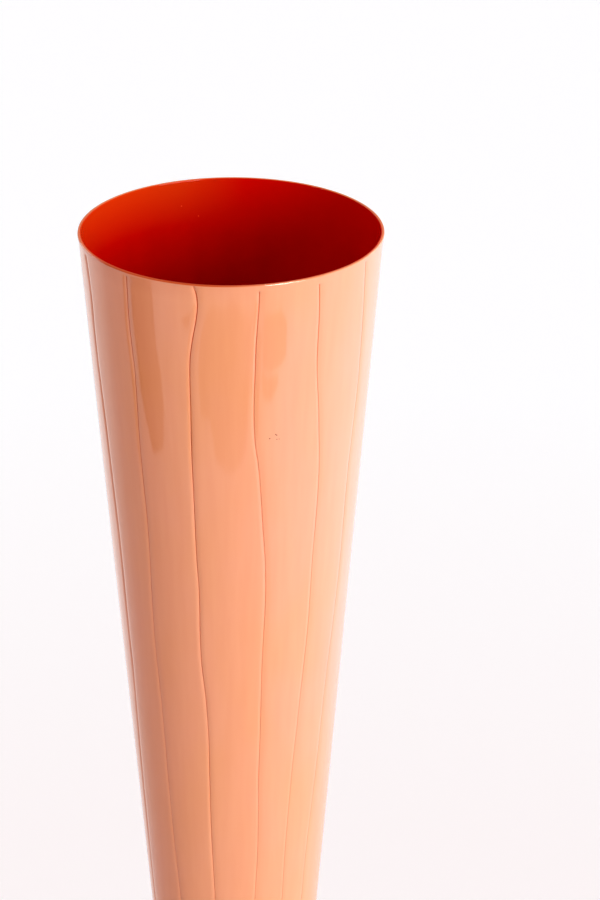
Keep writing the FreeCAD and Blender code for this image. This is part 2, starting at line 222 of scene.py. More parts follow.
# Where each crease starts, as a share of the crease top gap
CREASE_START_SHARES = (0.6, 0.4, 0.12, 0.7, 0.95, 0.5, 0.8, 0.6, 1.0, 0.4, 0.9, 0.7, 1.0, 0.6)
# How strongly each crease was pressed
CREASE_FORCE_SHARES = (0.75, 0.85, 1.1, 0.8, 0.65, 0.6, 0.8, 1.0, 0.7, 1.1, 0.8, 0.95, 0.7, 0.9)
# How far a crease takes to begin and to fade out, and the share of its depth that it loses
BEGINS_OVER = 0.8 * MM
FADES_OVER = 30 * MM
SLACKENS = 0.36
# How uneven a crease is, as a share of its depth, the reach of the two waves that make it so, and
# their shift from one crease to the next
UNEVEN_SHARE = 0.12
UNEVEN_REACHES = (9 * MM, 23 * MM)
UNEVEN_SHIFT = 1.7
# How strongly a crease is coloured against its depth, partly glass tone and partly painted shade:
# low down, what its start adds, and the reach over which that is lost
TINT_AND_SHADE_LOW = 0.28
TINT_AND_SHADE_ADDED = 0.95
TINT_AND_SHADE_REACH = 75 * MM
# How hollow a crease's left and right sides are, where 1 is straight
LEFT_HOLLOW = 1.3
RIGHT_HOLLOW = 1.6
# Half the width of a crease's slit, and of the colour along it: glass tone and painted shade
SLIT_HALF = 0.27 * MM
TINT_AND_SHADE_HALF = 0.36 * MM
# How wide a crease would be on the axis, as a share of its width at the rim
CREASE_WIDTH_SHARE = 0.45
# The wall's sway is made of waves: how many go round the vase, their reach up the wall, which is
# negative where they wind to the right, their share of the sway and their shift
SWAY_WAVES = ((3, 61 * MM, 1.0, 0.0), (5, -37 * MM, 0.6, 1.0))

# Where the mesh has an upright line beside a crease's middle, in millimetres at the rim, and how
# many lines it has between two creases
LINES_LEFT = (4.2, 2.8, 2.0, 1.4, 0.95, 0.62, 0.4, 0.25, 0.12)
LINES_RIGHT = (0.12, 0.25, 0.4, 0.62, 0.95, 1.4, 2.0, 2.8, 4.4)
LINES_BETWEEN = 7
# The casing's outer rows: where the first stands below the lip, how close the next ones stand and
# how many they are, and how far apart the others stand
FIRST_ROW = 0.6
CLOSE_GAP = 0.4
CLOSE_ROWS = 14
ROW_GAP = 3.2 * MM
# Where the lining has its rows below the rounding of its lip, in millimetres
LINING_ROWS = (0.1, 0.3, 0.8, 2.0)
LINING_WALL_TOP = 5 * MM
# Rings of the foot's underside, as shares of the radius of its hollow and of the pontil mark
HOLLOW_RINGS = (1, 0.8, 0.6, 0.45)
PONTIL_RINGS = (1, 0.8, 0.6, 0.4, 0.2, 0)
# A ring this narrow is a point on the axis
POINT_RADIUS = 0.001 * MM
# Faces that meet at more than this angle meet in an edge
EDGE_ANGLE = radians(50)
# Halvings that find the arc of the wafer's belly
BELLY_HALVINGS = 40

# Each soft light: its name, how far it stands to the right of the camera, its height over the
# horizon and its width as the vase sees it, in degrees
LIGHTS = (("key", 42, 11, 32), ("side", 105, 16, 60), ("back", 200, 30, 60), ("fill", -80, 45, 60))
# Specks in the glass: a turn from the front in degrees, a depth below the lip and a radius in mm
DIRT_SPECKS = (
    (15.4, 71.6, 0.38), (17.9, 70.0, 0.38), (18.4, 70.4, 0.36), (18.5, 72.4, 0.3),
    (19.5, 72.4, 0.26),
)
# Painted highlights on the lining, small lighter spots given in the same way
SPARKLE_HIGHLIGHTS = ((200.25, 11.2, 0.45), (193.3, 16.5, 0.4))
# Where the orange glass was drawn over the lip, given in the same way
DRAWN_LIP = (-30, 0, 50)
# Boards that glint on the lip: a softbox in front, and a white wall on each side behind the vase.
# Each has its brightness, how much of it is solid inside its soft edge, and its corners as a turn
# to the right of the camera and a rise in degrees.
GLINTS = {
    "softbox": (50, 0.9, ((25, 4), (25, 34), (50, 34), (50, 4))),
    "left_wall": (5, 0.6, ((-112, 8), (-112, 32), (-154, 32), (-154, 8))),
    "right_wall": (5, 0.6, ((112, 8), (112, 32), (154, 32), (154, 8))),
}
# How far those boards stand from the vase, and the height that their rise is counted from, in metres
GLINT_DISTANCE = 2.2
GLINT_LIFT = 0.54
# Height of the highest card over the floor, the gap down to the next one and the height of the
# sheets, in metres
CARD_LEVEL = 0.0025
CARD_GAP = 0.0002
SHEET_LEVEL = 0.001
# Dark cards on the floor in front, which only the glass mirrors and which leave soft darker
# patches. Each has its brightness, how much of it is solid inside its soft edge, and its outline,
# where a corner is a turn to the right of the camera in degrees and a distance in mm.
CARDS = {
    "dark_left": (0.05, 0.88, (
        (-90, 1050), (-88, 960), (-86, 915), (-84, 880), (-80, 850), (-76, 820), (-72, 775),
        (-60, 775), (-57, 820), (-58, 870), (-61, 900), (-62, 1000), (-68, 1050),
    )),
    "dark_middle": (0.2, 0.88, (
        (-27, 928), (-28, 860), (-27, 800), (-19, 790), (-15, 738), (10, 738), (14, 800), (17, 860),
        (17, 930), (2, 945), (-14, 940),
    )),
    "dark_lobe": (0.1, 0.8, ((-40, 918), (-36, 928), (-29, 926), (-29, 904), (-37, 904))),
    "dark_right": (0.05, 0.9, (
        (20, 938), (38, 944), (44, 928), (44, 880), (39, 864), (20, 862),
    )),
    "dark_low": (0.05, 0.9, (
        (21, 857), (38, 858), (38, 840), (32, 815), (26, 815), (21, 842),
    )),
}
# Glowing white sheets that lie round the vase and that only the glass mirrors: each has its colour
# and brightness, and how much of it is solid at turns to the right of the camera in degrees
SHEETS = {
    "white_right": ("#E4E8FF", 2.6, (
        (22, 0.0), (46, 0.55), (76, 0.68), (92, 0.76), (112, 0.7), (130, 0.55), (150, 0.25),
        (176, 0.0),
    )),
    "white_left": ("#FFFFFF", 1.35, ((184, 0.0), (205, 0.9), (230, 0.9), (250, 0.0))),
}
# How much of a sheet is solid at distances from the vase, in metres
SHEET_FADES = ((0.2, 0.0), (0.48, 0.5), (0.72, 1.0), (2.0, 1.0), (3.2, 0.0))
# Half the floor's width, and the distances from the vase between which its glow changes, in metres
FLOOR_HALF = 14.0
GLOW_CHANGES = (0.45, 1.1)
# How far below the horizon the dim ceiling starts in mirrored rays, as a rise over a length of 1
CEILING_STARTS = -0.06
# Rays that see or mirror a surface, where the others only gather light
SEEING_RAYS = ("Is Camera Ray", "Is Glossy Ray", "Is Transmission Ray")
WHITE = (1, 1, 1, 1)
# The camera's sensor in millimetres, its furthest sight and its lamps' distance in metres, and the
# picture's longer side in pixels
SENSOR_WIDTH = 36
SIGHT = 100
LAMP_DISTANCE = 2
PICTURE_HEIGHT = 900


def around(radius, angle, height):
    """The point at an angle from the front, turning to the right."""
    return Vector((radius * sin(angle), -radius * cos(angle), height))


def arc(centre, radius, start, end, steps):
    """Points in the upright plane on an arc, from start to end; angles rise from outwards."""
    turns = [start + (end - start) * step / steps for step in range(steps + 1)]
    return [(centre[0] + radius * cos(turn), centre[1] + radius * sin(turn)) for turn in turns]


def line(start, end, steps):
    """Points in the upright plane on a line, without its last point."""
    shares = [step / steps for step in range(steps)]
    return [(start[0] + (end[0] - start[0]) * s, start[1] + (end[1] - start[1]) * s) for s in shares]


def dome(half, rise, base, gaps):
    """Points on a shallow dome of a half width and a rise over a base, at gaps from its axis."""
    radius = (half ** 2 + rise ** 2) / (2 * rise)
    return [(gap, base + rise - (radius - (radius * radius - gap * gap) ** 0.5)) for gap in gaps]


def make_mesh(name, rings):
    """A closed body through rings of points, where a ring of one point closes an end."""
    points, firsts = [], []
    for ring in rings:
        firsts.append(len(points))
        points += ring
    faces = []
    for upper, lower, top, bottom in zip(rings, rings[1:], firsts, firsts[1:]):
        count = max(len(upper), len(lower))
        for step in range(count):
            after = (step + 1) % count
            if len(upper) == 1:
                faces.append((top, bottom + step, bottom + after))
            elif len(lower) == 1:
                faces.append((top + step, bottom, top + after))
            else:
                faces.append((top + step, bottom + step, bottom + after, top + after))
    mesh = bpy.data.meshes.new(name)
    mesh.from_pydata(points, [], faces)
    mesh.shade_smooth()
    mesh.set_sharp_from_angle(angle=EDGE_ANGLE)
    mesh.update()
    return mesh


def revolve(name, outline, columns):
    """A closed body of revolution whose outline starts and ends on the axis."""
    rings = []
    for radius, height in outline:
        if radius < POINT_RADIUS:
            rings.append([Vector((0, 0, height))])
        else:
            turns = [2 * pi * column / columns for column in range(columns)]
            rings.append([around(radius, turn, height) for turn in turns])
    return make_mesh(name, rings)


def add_piece(name, mesh, node, material):
    """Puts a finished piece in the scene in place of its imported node."""
    piece = bpy.data.objects.new(name, mesh)
    bpy.context.scene.collection.objects.link(piece)
    mesh.materials.append(material)
    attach(piece, "root")
    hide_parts(node)


class Wall:
    """One face of the blown bubble: a cone that runs into a round end."""

    def __init__(self, shape, lip_radius, end_radius, end_height):
        self.lip = (lip_radius, shape.height)
        self.end_radius = end_radius
        self.centre = end_height + end_radius
        far = hypot(lip_radius, shape.height - self.centre)
        self.lean = acos(end_radius / far) - atan2(shape.height - self.centre, lip_radius)
        self.touch = (end_radius * cos(self.lean), self.centre - end_radius * sin(self.lean))

    def radius(self, height):
        """Radius of the cone at a height."""
        return self.lip[0] - (self.lip[1] - height) * tan(self.lean)

    def down(self, start_height, rows, end_rows):
        """Points from a height on the cone down to the lowest point."""
        start = (self.radius(start_height), start_height)
        cone = line(start, self.touch, rows)
        ball = arc((0, self.centre), self.end_radius, -self.lean, -pi / 2, end_rows)
        return cone + ball


def bubble_walls(shape):
    """The outside of the casing, core and lining, and the inside of the lining."""
    lip, end, base = shape.rim_radius, shape.end_radius, shape.end_height
    walls = [Wall(shape, lip, end, base)]
    for layer in ("casing", "core", "lining"):
        lip -= getattr(shape, layer + "_at_lip")
        end -= getattr(shape, layer + "_at_end")
        base += getattr(shape, layer + "_at_base")
        walls.append(Wall(shape, lip, end, base))
    return walls


def smooth(share):
    """Rises softly from 0 to 1 as the share does, and stays there beyond."""
    share = min(max(share, 0.0), 1.0)
    return share * share * (3 - 2 * share)


def along(values, place):
    """A smooth curve through evenly spaced values, at a place counted in values."""
    # The place stays just short of the last value, so that there is always one after it
    place = min(max(place, 0.0), len(values) - 1.001)
    first = int(place)
    share = place - first
    before, start, end, after = (
        values[min(max(first + step, 0), len(values) - 1)] for step in (-1, 0, 1, 2)
    )
    pull_in, pull_out = (end - before) / 2, (after - start) / 2
    return (
        start + pull_in * share
        + (3 * (end - start) - 2 * pull_in - pull_out) * share ** 2
        + (2 * (start - end) + pull_in + pull_out) * share ** 3
    )


class Crease:
    """One upright crease of the casing, counted from the leftmost one that shows in front."""

    def __init__(self, shape, count):
        self.shape = shape
        self.force = CREASE_FORCE_SHARES[count % len(CREASE_FORCE_SHARES)]
        starts = CREASE_START_SHARES[count % len(CREASE_START_SHARES)]
        self.start = shape.height - shape.crease_top_gap * starts
        self.end = shape.end_height + shape.crease_end_gap
        pitch = 2 * pi / shape.crease_count
        self.upright = shape.first_crease + (count - CREASES_LEFT_OF_FIRST) * pitch
        self.shift = UNEVEN_SHIFT * count
        if count < len(CREASE_DRIFTS):
            self.drifts = CREASE_DRIFTS[count]
        else:
            mirror = (shape.crease_count - 1 - count) % len(CREASE_DRIFTS)
            self.drifts = [-drift for drift in CREASE_DRIFTS[mirror]]

    def share(self, height):
        """0 at the crease's start and 1 at its end."""
        return min(max((self.start - height) / (self.start - self.end), 0.0), 1.0)

    def angle(self, height):
        """Where the crease runs at a height."""
        place = self.share(height) ** (1 / STATION_CROWDING) * (len(self.drifts) - 1)
        return self.upright + along(self.drifts, place) * MM / self.shape.rim_radius

    def strength(self, height):
        """1 where the crease is deep, and 0 beyond its square start and its faded end."""
        share = self.share(height)
        begins = smooth((self.start - height) / BEGINS_OVER)
        fades = smooth((height - self.end) / FADES_OVER)
        short, long = (height / reach_up for reach_up in UNEVEN_REACHES)
        uneven = 1 + UNEVEN_SHARE * sin(short + self.shift) * sin(long - self.shift)
        return self.force * begins * fades * uneven * (1 - SLACKENS * share)

    def tint_and_shade_strength(self, height):
        """How strongly the crease is coloured against its depth, in part painted shade: most near
        its start.
        """
        return TINT_AND_SHADE_LOW + TINT_AND_SHADE_ADDED * exp((height - self.start) / TINT_AND_SHADE_REACH)


def crease_depth(shape, offset):
    """Depth of a full crease at a distance from its middle, and how much the slit colours it, in
    part as painted shade.
    """
    if offset < 0:
        width, hollow = shape.crease_left, LEFT_HOLLOW
    else:
        width, hollow = shape.crease_right, RIGHT_HOLLOW
    slope = max(1 - abs(offset) / width, 0.0) ** hollow
    slit = smooth(1 - abs(offset) / SLIT_HALF)
    tint_and_shade = smooth(1 - abs(offset) / TINT_AND_SHADE_HALF)
    return shape.crease_depth * slope + shape.crease_slit * slit, tint_and_shade


def casing_rows(wall):
    """Heights of the casing's outer rows, close together by the lip."""
    rows = [wall.lip[1] - (FIRST_ROW + CLOSE_GAP * row) * MM for row in range(CLOSE_ROWS)]
    last = rows[-1]
    count = round((last - wall.touch[1]) / ROW_GAP)
    return rows + [last + (wall.touch[1] - last) * row / count for row in range(1, count)]


def make_casing_mesh(shape):
    """The peach casing, with its creases drawn into the outside."""
    outside, inside = bubble_walls(shape)[:2]
    creases = [Crease(shape, count) for count in range(shape.crease_count)]
    lines = [-offset * MM for offset in LINES_LEFT] + [0.0] + [offset * MM for offset in LINES_RIGHT]
    centre = (outside.lip[0] - shape.outer_lip_round, outside.lip[1] - shape.outer_lip_round)
    lip = arc(centre, shape.outer_lip_round, pi / 2, -outside.lean, steps=8)
    rows = casing_rows(outside)
    outline = [(outside.radius(height), height) for height in rows if height < lip[-1][1]]
    ball = arc((0, outside.centre), outside.end_radius, -outside.lean, -pi / 2, steps=14)
    inner = inside.down(shape.height, rows=10, end_rows=6)[::-1]
    rings, tints_and_shades = [], []
    for radius, height in inner + lip + outline + ball:
        if radius < POINT_RADIUS:
            rings.append([Vector((0, 0, height))])
            tints_and_shades.append(0.0)
            continue
        on_cone = (radius, height) in outline
        # Below the creases' ends the mesh lines run on as they stand there
        level = max(height, creases[0].end)
        radius_share = outside.radius(level) / shape.rim_radius
        narrowing = CREASE_WIDTH_SHARE + (1 - CREASE_WIDTH_SHARE) * radius_share
        spread = narrowing / outside.radius(level)
        ring = []
        for here, after in zip(creases, creases[1:] + creases[:1]):
            middle = here.angle(level)
            strength = here.strength(height) if on_cone else 0.0
            tint_and_shade_strength = strength * here.tint_and_shade_strength(height)
            for offset in lines:
                depth, tint_and_shade = crease_depth(shape, offset)
                place = middle + offset * spread
                ring.append((place, depth * strength * narrowing, tint_and_shade * tint_and_shade_strength))
            left = middle + lines[-1] * spread
            right = after.angle(level) + lines[0] * spread
            right += 2 * pi if right < left else 0.0
            for step in range(1, LINES_BETWEEN + 1):
                ring.append((left + (right - left) * step / (LINES_BETWEEN + 1), 0.0, 0.0))
        points = []
        for angle, depth, tint_and_shade in ring:
            sway = shape.sway * sum(
                share * sin(waves * angle + height / reach_up + shift)
                for waves, reach_up, share, shift in SWAY_WAVES
            )
            inwards = depth - (sway if on_cone else 0.0)
            drop, lift = inwards * cos(outside.lean), inwards * sin(outside.lean)
            points.append(around(radius - drop, angle, height + lift))
            tints_and_shades.append(tint_and_shade)
        rings.append(points)
    mesh = make_mesh("outer_casing", rings)
    # The colour along the creases goes on the mesh: partly glass tone and partly painted shade
    layer = mesh.attributes.new("crease", "FLOAT", "POINT")
    layer.data.foreach_set("value", tints_and_shades)
    return mesh


def make_core_mesh(shape):
    """The white opal layer, square at the lip."""
    outside, inside = bubble_walls(shape)[1:3]
    inner = inside.down(shape.height, rows=12, end_rows=8)[::-1]
    outer = outside.down(shape.height, rows=12, end_rows=8)
    return revolve("opal_core", inner + outer, columns=160)


def make_lining_mesh(shape):
    """The orange lining, rounded at the lip's inner edge."""
    outside, inside = bubble_walls(shape)[2:]
    round_radius = shape.inner_lip_round
    centre = (inside.lip[0] + round_radius, shape.height - round_radius)
    lip = arc(centre, round_radius, pi + inside.lean, pi / 2, steps=6)
    top = lip[0][1]
    near = [(inside.radius(top - gap * MM), top - gap * MM) for gap in LINING_ROWS]
    wall = inside.down(top - LINING_WALL_TOP, rows=60, end_rows=24)
    outer = outside.down(shape.height, rows=12, end_rows=8)
    return revolve("inner_lining", wall[::-1] + near[::-1] + lip + outer, columns=256)


def make_merese_mesh(shape):
    """The wafer: a cup for the round end, a full belly and a flat underside."""
    ball_centre = shape.end_height + shape.end_radius
    seat_turn = acos(shape.merese_seat / shape.end_radius)
    cup = arc((0, ball_centre), shape.end_radius - shape.fused, -pi / 2, -seat_turn, steps=10)
    top = cup[-1]
    base = (shape.merese_base, shape.foot_height - shape.fused)
    # The belly's arc passes through the cup's edge and the base's edge and reaches the full radius
    middle = ((top[0] + base[0]) / 2, (top[1] + base[1]) / 2)
    chord = (base[0] - top[0], base[1] - top[1])
    half = hypot(*chord) / 2
    out = (-chord[1] / (2 * half), chord[0] / (2 * half))
    nearest, furthest = -half, half
    for _ in range(BELLY_HALVINGS):
        shift = (nearest + furthest) / 2
        belly_centre = (middle[0] + out[0] * shift, middle[1] + out[1] * shift)
        radius = hypot(top[0] - belly_centre[0], top[1] - belly_centre[1])
        if belly_centre[0] + radius < shape.merese_radius:
            nearest = shift
        else:
            furthest = shift
    start = atan2(top[1] - belly_centre[1], top[0] - belly_centre[0])
    end = atan2(base[1] - belly_centre[1], base[0] - belly_centre[0])
    belly = arc(belly_centre, radius, start, end, steps=20)
    return revolve("merese", cup + belly[1:] + [(0.0, base[1])], columns=128)


def make_foot_mesh(shape):
    """The disc foot: a flat top, a hollow slope, a round edge, a ground ring and a pontil mark."""
    neck = (shape.foot_neck, shape.foot_height)
    edge_round = shape.foot_edge / 2
    slope_end = (shape.foot_radius - edge_round, shape.foot_edge)
    drop, run = neck[1] - slope_end[1], slope_end[0] - neck[0]
    slope_radius = (drop * drop + run * run) / (2 * drop)
    slope_centre = (slope_end[0], slope_end[1] + slope_radius)
    start = atan2(neck[1] - slope_centre[1], neck[0] - slope_centre[0]) + 2 * pi
    slope = arc(slope_centre, slope_radius, start, 3 * pi / 2, steps=40)
    edge = arc((slope_end[0], edge_round), edge_round, pi / 2, -pi / 2, steps=16)
    rings = [share * shape.foot_ring for share in HOLLOW_RINGS]
    *hollow, pontil_edge = dome(
        shape.foot_ring, shape.foot_hollow, 0, rings + [shape.pontil_radius]
    )
    rings = [share * shape.pontil_radius for share in PONTIL_RINGS]
    dish = dome(shape.pontil_radius, shape.pontil_depth, pontil_edge[1], rings)
    outline = [(0.0, shape.foot_height), neck] + slope[1:] + edge[1:] + hollow + dish
    return revolve("foot", outline, columns=192)


def add_node(tree, kind, sockets=None, **settings):
    """Adds a node; a socket's value is a constant or another node's output."""
    node = tree.nodes.new(kind)
    for name, value in settings.items():
        setattr(node, name, value)
    for key, value in (sockets or {}).items():
        if isinstance(value, bpy.types.NodeSocket):
            tree.links.new(value, node.inputs[key])
        else:
            node.inputs[key].default_value = value
    return node


def start_material(name):
    """An empty material and its node tree."""
    material = bpy.data.materials.new(name)
    material.use_nodes = True
    material.node_tree.nodes.clear()
    return material, material.node_tree


def streaked(tree, width, height):
    """Noise drawn out upwards, with streaks of a real width and height."""
    place = add_node(tree, "ShaderNodeTexCoord")
    stretch = add_node(tree, "ShaderNodeMapping", {
        "Vector": place.outputs["Object"], "Scale": (1 / width, 1 / width, 1 / height)
    })
    noise = add_node(tree, "ShaderNodeTexNoise", {
        "Vector": stretch.outputs[0], "Scale": 1.0, "Detail": 2.0, "Roughness": 0.5
    })
    return noise.outputs["Fac"]


def rippled(tree, width, height, depth):
    """The slant of a surface with soft ripples of a real width, height and depth."""
    bump = add_node(tree, "ShaderNodeBump", {
        "Height": streaked(tree, width, height), "Strength": 1.0, "Distance": depth
    })
    return bump.outputs[0]


def veil_share(tree, width, height, low, high, most=1.0):
    """Rises from 0 to its most between two levels of a noise of a real width and height."""
    veil = add_node(tree, "ShaderNodeMapRange", {
        "Value": streaked(tree, width, height), "From Min": low, "From Max": high, "To Max": most
    })
    return veil.outputs[0]


def axis_share(tree, axis, start, end):
    """Rises from 0 to 1 between two places along an axis."""
    place = add_node(tree, "ShaderNodeTexCoord")
    parts = add_node(tree, "ShaderNodeSeparateXYZ", {0: place.outputs["Object"]})
    rise = add_node(tree, "ShaderNodeMapRange", {
        "Value": parts.outputs[axis], "From Min": start, "From Max": end
    })
    return rise.outputs[0]


def lip_share(tree, wall, start, end, where=1.0):
    """Rises from 0 to 1 between two distances below the lip, and is then cut to another share."""
    rise = axis_share(tree, "Z", wall.lip[1] - start, wall.lip[1] - end)
    return add_node(tree, "ShaderNodeMath", {0: rise, 1: where}, operation="MULTIPLY").outputs[0]


def spot_share(tree, wall, turn, depth, radius):
    """Rises from 0 to 1 from a round spot's edge to half its radius, on a wall."""
    height = wall.lip[1] - depth * MM
    spot = around(wall.radius(height), radians(turn), height)
    place = add_node(tree, "ShaderNodeTexCoord")
    gap = add_node(
        tree, "ShaderNodeVectorMath", {0: place.outputs["Object"], 1: spot}, operation="DISTANCE"
    )
    rise = add_node(tree, "ShaderNodeMapRange", {
        "Value": gap.outputs["Value"], "From Min": radius * MM, "From Max": radius * MM / 2
    })
    return rise.outputs[0]


def ray_share(tree, *kinds):
    """1 for rays of these kinds, and 0 for the others."""
    path = add_node(tree, "ShaderNodeLightPath")
    share = path.outputs[kinds[0]]
    for kind in kinds[1:]:
        larger = add_node(
            tree, "ShaderNodeMath", {0: share, 1: path.outputs[kind]}, operation="MAXIMUM"
        )
        share = larger.outputs[0]
    return share


def layered(tree, base, *layers):
    """A colour with others laid over it in turn, each by its own share."""
    for share, top in layers:
        mix = add_node(tree, "ShaderNodeMix", {0: share, 6: base, 7: top}, data_type="RGBA")
        base = mix.outputs[2]
    return base


def lip_tone(tree, colours, wall):
    """The lip's colour: deep where the orange glass was drawn over it, and pale at the back, in part
    a painted highlight.
    """
    drawn = spot_share(tree, wall, *DRAWN_LIP)
    back = axis_share(tree, "Y", start=0, end=40 * MM)
    return layered(tree, colours.lip, (drawn, colours.lip_deep), (back, colours.lip_pale_and_highlight))


def peach_cased_glass(colours, wall):
    """Mouth-blown opaque peach glass, laid over white opal: glossy and a little uneven."""
    material, tree = start_material("peach cased glass, blown")
    clouds = veil_share(tree, width=34 * MM, height=60 * MM, low=0.35, high=0.65)
    # Streaks that were drawn out as the bubble was swung
    streaks = veil_share(tree, width=3.5 * MM, height=120 * MM, low=0.3, high=0.7, most=0.06)
    # Deeper colour along the creases: partly thicker glass in the fold and partly painted shade in
    # the groove
    crease = add_node(tree, "ShaderNodeAttribute", attribute_name="crease")
    tint_and_shade = add_node(tree, "ShaderNodeMapRange", {"Value": crease.outputs["Fac"], "To Max": 0.85})
    edge = lip_share(tree, wall, start=0.2 * MM, end=0.04 * MM)
    # On one side the orange glass was drawn over the lip: it makes a line there and shows faintly
    # through the casing below
    side = spot_share(tree, wall, *DRAWN_LIP)
    drawn = lip_share(tree, wall, start=0.6 * MM, end=0.2 * MM, where=side)
    below = add_node(tree, "ShaderNodeMapRange", {
        "Value": lip_share(tree, wall, start=8 * MM, end=0, where=side), "To Max": 0.15
    })
    specks = [(spot_share(tree, wall, *spot), colours.speck) for spot in DIRT_SPECKS]
    base = layered(
        tree, colours.peach, (clouds, colours.peach_pink), (streaks, colours.crease),
        (tint_and_shade.outputs[0], colours.crease), (edge, lip_tone(tree, colours, wall)),
        (below.outputs[0], colours.lip_deep), (drawn, colours.lip_deep), *specks,
    )
    glass = add_node(tree, "ShaderNodeBsdfPrincipled", {
        "Base Color": base, "Roughness": 0.03, "IOR": 1.5,
        "Normal": rippled(tree, width=9 * MM, height=26 * MM, depth=0.03 * MM),
    })
    add_node(tree, "ShaderNodeOutputMaterial", {"Surface": glass.outputs[0]})
    return material


def opal_glass(colours, wall):
    """White opal glass, as it shows on the lip: milky and a little cloudy."""
    material, tree = start_material("white opal glass, blown")
    clouds = veil_share(tree, width=8 * MM, height=8 * MM, low=0.3, high=0.7, most=0.12)
    edge = lip_share(tree, wall, start=2.0 * MM, end=0.2 * MM)
    base = layered(
        tree, colours.opal, (clouds, colours.peach), (edge, lip_tone(tree, colours, wall))
    )
    glass = add_node(tree, "ShaderNodeBsdfPrincipled", {
        "Base Color": base, "Roughness": 0.15, "IOR": 1.5
    })
    add_node(tree, "ShaderNodeOutputMaterial", {"Surface": glass.outputs[0]})
    return material


def orange_lining_glass(colours, wall):
    """Orange-red glass inside the vase: glossy, and deeper in colour where it lies thicker."""
    material, tree = start_material("orange cased glass, blown")
    streaks = veil_share(tree, width=14 * MM, height=160 * MM, low=0.35, high=0.65)
    # The lining is painted lighter towards the lip, and more orange on the left: painted light where
    # light falls into the mouth
    bright = lip_share(tree, wall, start=26 * MM, end=0)
    left = axis_share(tree, "X", start=6 * MM, end=-24 * MM)
    painted_light_left = lip_share(tree, wall, start=20 * MM, end=0, where=left)
    # At the back the peach glass covers the top of the lip, which is painted pale, in part as a
    # painted highlight
    back = axis_share(tree, "Y", start=0, end=40 * MM)
    pale_and_lit_back_lip = lip_share(tree, wall, start=0.08 * MM, end=0, where=back)
    # Small painted highlights on the lining
    sparkle_highlights = [(spot_share(tree, wall, *spot), colours.seed) for spot in SPARKLE_HIGHLIGHTS]
    base = layered(
        tree, colours.orange, (streaks, colours.orange_deep), (bright, colours.orange_painted_light),
        (painted_light_left, colours.orange_painted_light_left), (pale_and_lit_back_lip, colours.lip_pale_and_highlight), *sparkle_highlights,
    )
    # The tight rounding of the lip mirrors less than the wall
    rounding = lip_share(tree, wall, start=0.8 * MM, end=0.3 * MM)
    shine = add_node(tree, "ShaderNodeMapRange", {"Value": rounding, "To Min": 0.5, "To Max": 0.06})
    glass = add_node(tree, "ShaderNodeBsdfPrincipled", {
        "Base Color": base, "Roughness": 0.06, "IOR": 1.5, "Specular IOR Level": shine.outputs[0],
        "Normal": rippled(tree, width=12 * MM, height=40 * MM, depth=0.04 * MM),
    })
    add_node(tree, "ShaderNodeOutputMaterial", {"Surface": glass.outputs[0]})
    return material


def clear_glass(colours):
    """Clear soda-lime glass, worked hot: bright, with faint swirls, and it lets light through."""
    material, tree = start_material("clear soda-lime glass, hot worked")
    glass = add_node(tree, "ShaderNodeBsdfPrincipled", {
        "Base Color": colours.clear, "Roughness": 0.02, "IOR": 1.52, "Transmission Weight": 1.0,
        "Normal": rippled(tree, width=7 * MM, height=4 * MM, depth=0.05 * MM),
    })
    # Rays that gather light pass straight through, so that the glass casts a pale shadow
    gathering = ray_share(tree, "Is Shadow Ray", "Is Diffuse Ray")
    passing = add_node(tree, "ShaderNodeBsdfTransparent", {"Color": colours.clear_shadow})
    surface = add_node(tree, "ShaderNodeMixShader", {
        0: gathering, 1: glass.outputs[0], 2: passing.outputs[0]
    })
    add_node(tree, "ShaderNodeOutputMaterial", {"Surface": surface.outputs[0]})
    return material


def white_floor(studio):
    """A matt white table top that shows white and still takes the vase's shadow."""
    material, tree = start_material("matt white table top")
    matt = add_node(tree, "ShaderNodeBsdfDiffuse", {"Color": studio.floor})
    place = add_node(tree, "ShaderNodeTexCoord")
    away = add_node(tree, "ShaderNodeVectorMath", {0: place.outputs["Object"]}, operation="LENGTH")
    far = add_node(tree, "ShaderNodeMapRange", {
        "Value": away.outputs["Value"], "From Min": GLOW_CHANGES[0], "From Max": GLOW_CHANGES[1]
    })
    glow = layered(tree, studio.glow_near, (far.outputs[0], studio.glow_far))
    light = add_node(tree, "ShaderNodeEmission", {
        "Color": glow, "Strength": ray_share(tree, *SEEING_RAYS)
    })
    surface = add_node(tree, "ShaderNodeAddShader", {0: matt.outputs[0], 1: light.outputs[0]})
    add_node(tree, "ShaderNodeOutputMaterial", {"Surface": surface.outputs[0]})
    return material


def set_world(studio):
    """White all round where it is seen, a dim ceiling where mirrored, and a dim light otherwise."""
    world = bpy.data.worlds.new("pale room")
    world.use_nodes = True
    tree = world.node_tree
    tree.nodes.clear()
    seen = ray_share(tree, *SEEING_RAYS)
    strength = add_node(tree, "ShaderNodeMapRange", {"Value": seen, "To Min": studio.room_power})
    way = add_node(tree, "ShaderNodeTexCoord")
    rise = add_node(tree, "ShaderNodeSeparateXYZ", {0: way.outputs["Generated"]})
    overhead = add_node(tree, "ShaderNodeMapRange", {
        "Value": rise.outputs["Z"], "From Min": CEILING_STARTS, "From Max": 0.0
    })
    ceiling = add_node(tree, "ShaderNodeMath", {
        0: overhead.outputs[0], 1: ray_share(tree, "Is Glossy Ray")
    }, operation="MULTIPLY")
    walls = add_node(tree, "ShaderNodeMix", {
        0: 1.0,
        6: layered(tree, studio.room, (seen, WHITE)),
        7: layered(tree, WHITE, (ceiling.outputs[0], studio.ceiling)),
    }, data_type="RGBA", blend_type="MULTIPLY")
    room = add_node(tree, "ShaderNodeBackground", {
        "Color": walls.outputs[2], "Strength": strength.outputs[0]
    })
    add_node(tree, "ShaderNodeOutputWorld", {"Surface": room.outputs[0]})
    bpy.context.scene.world = world


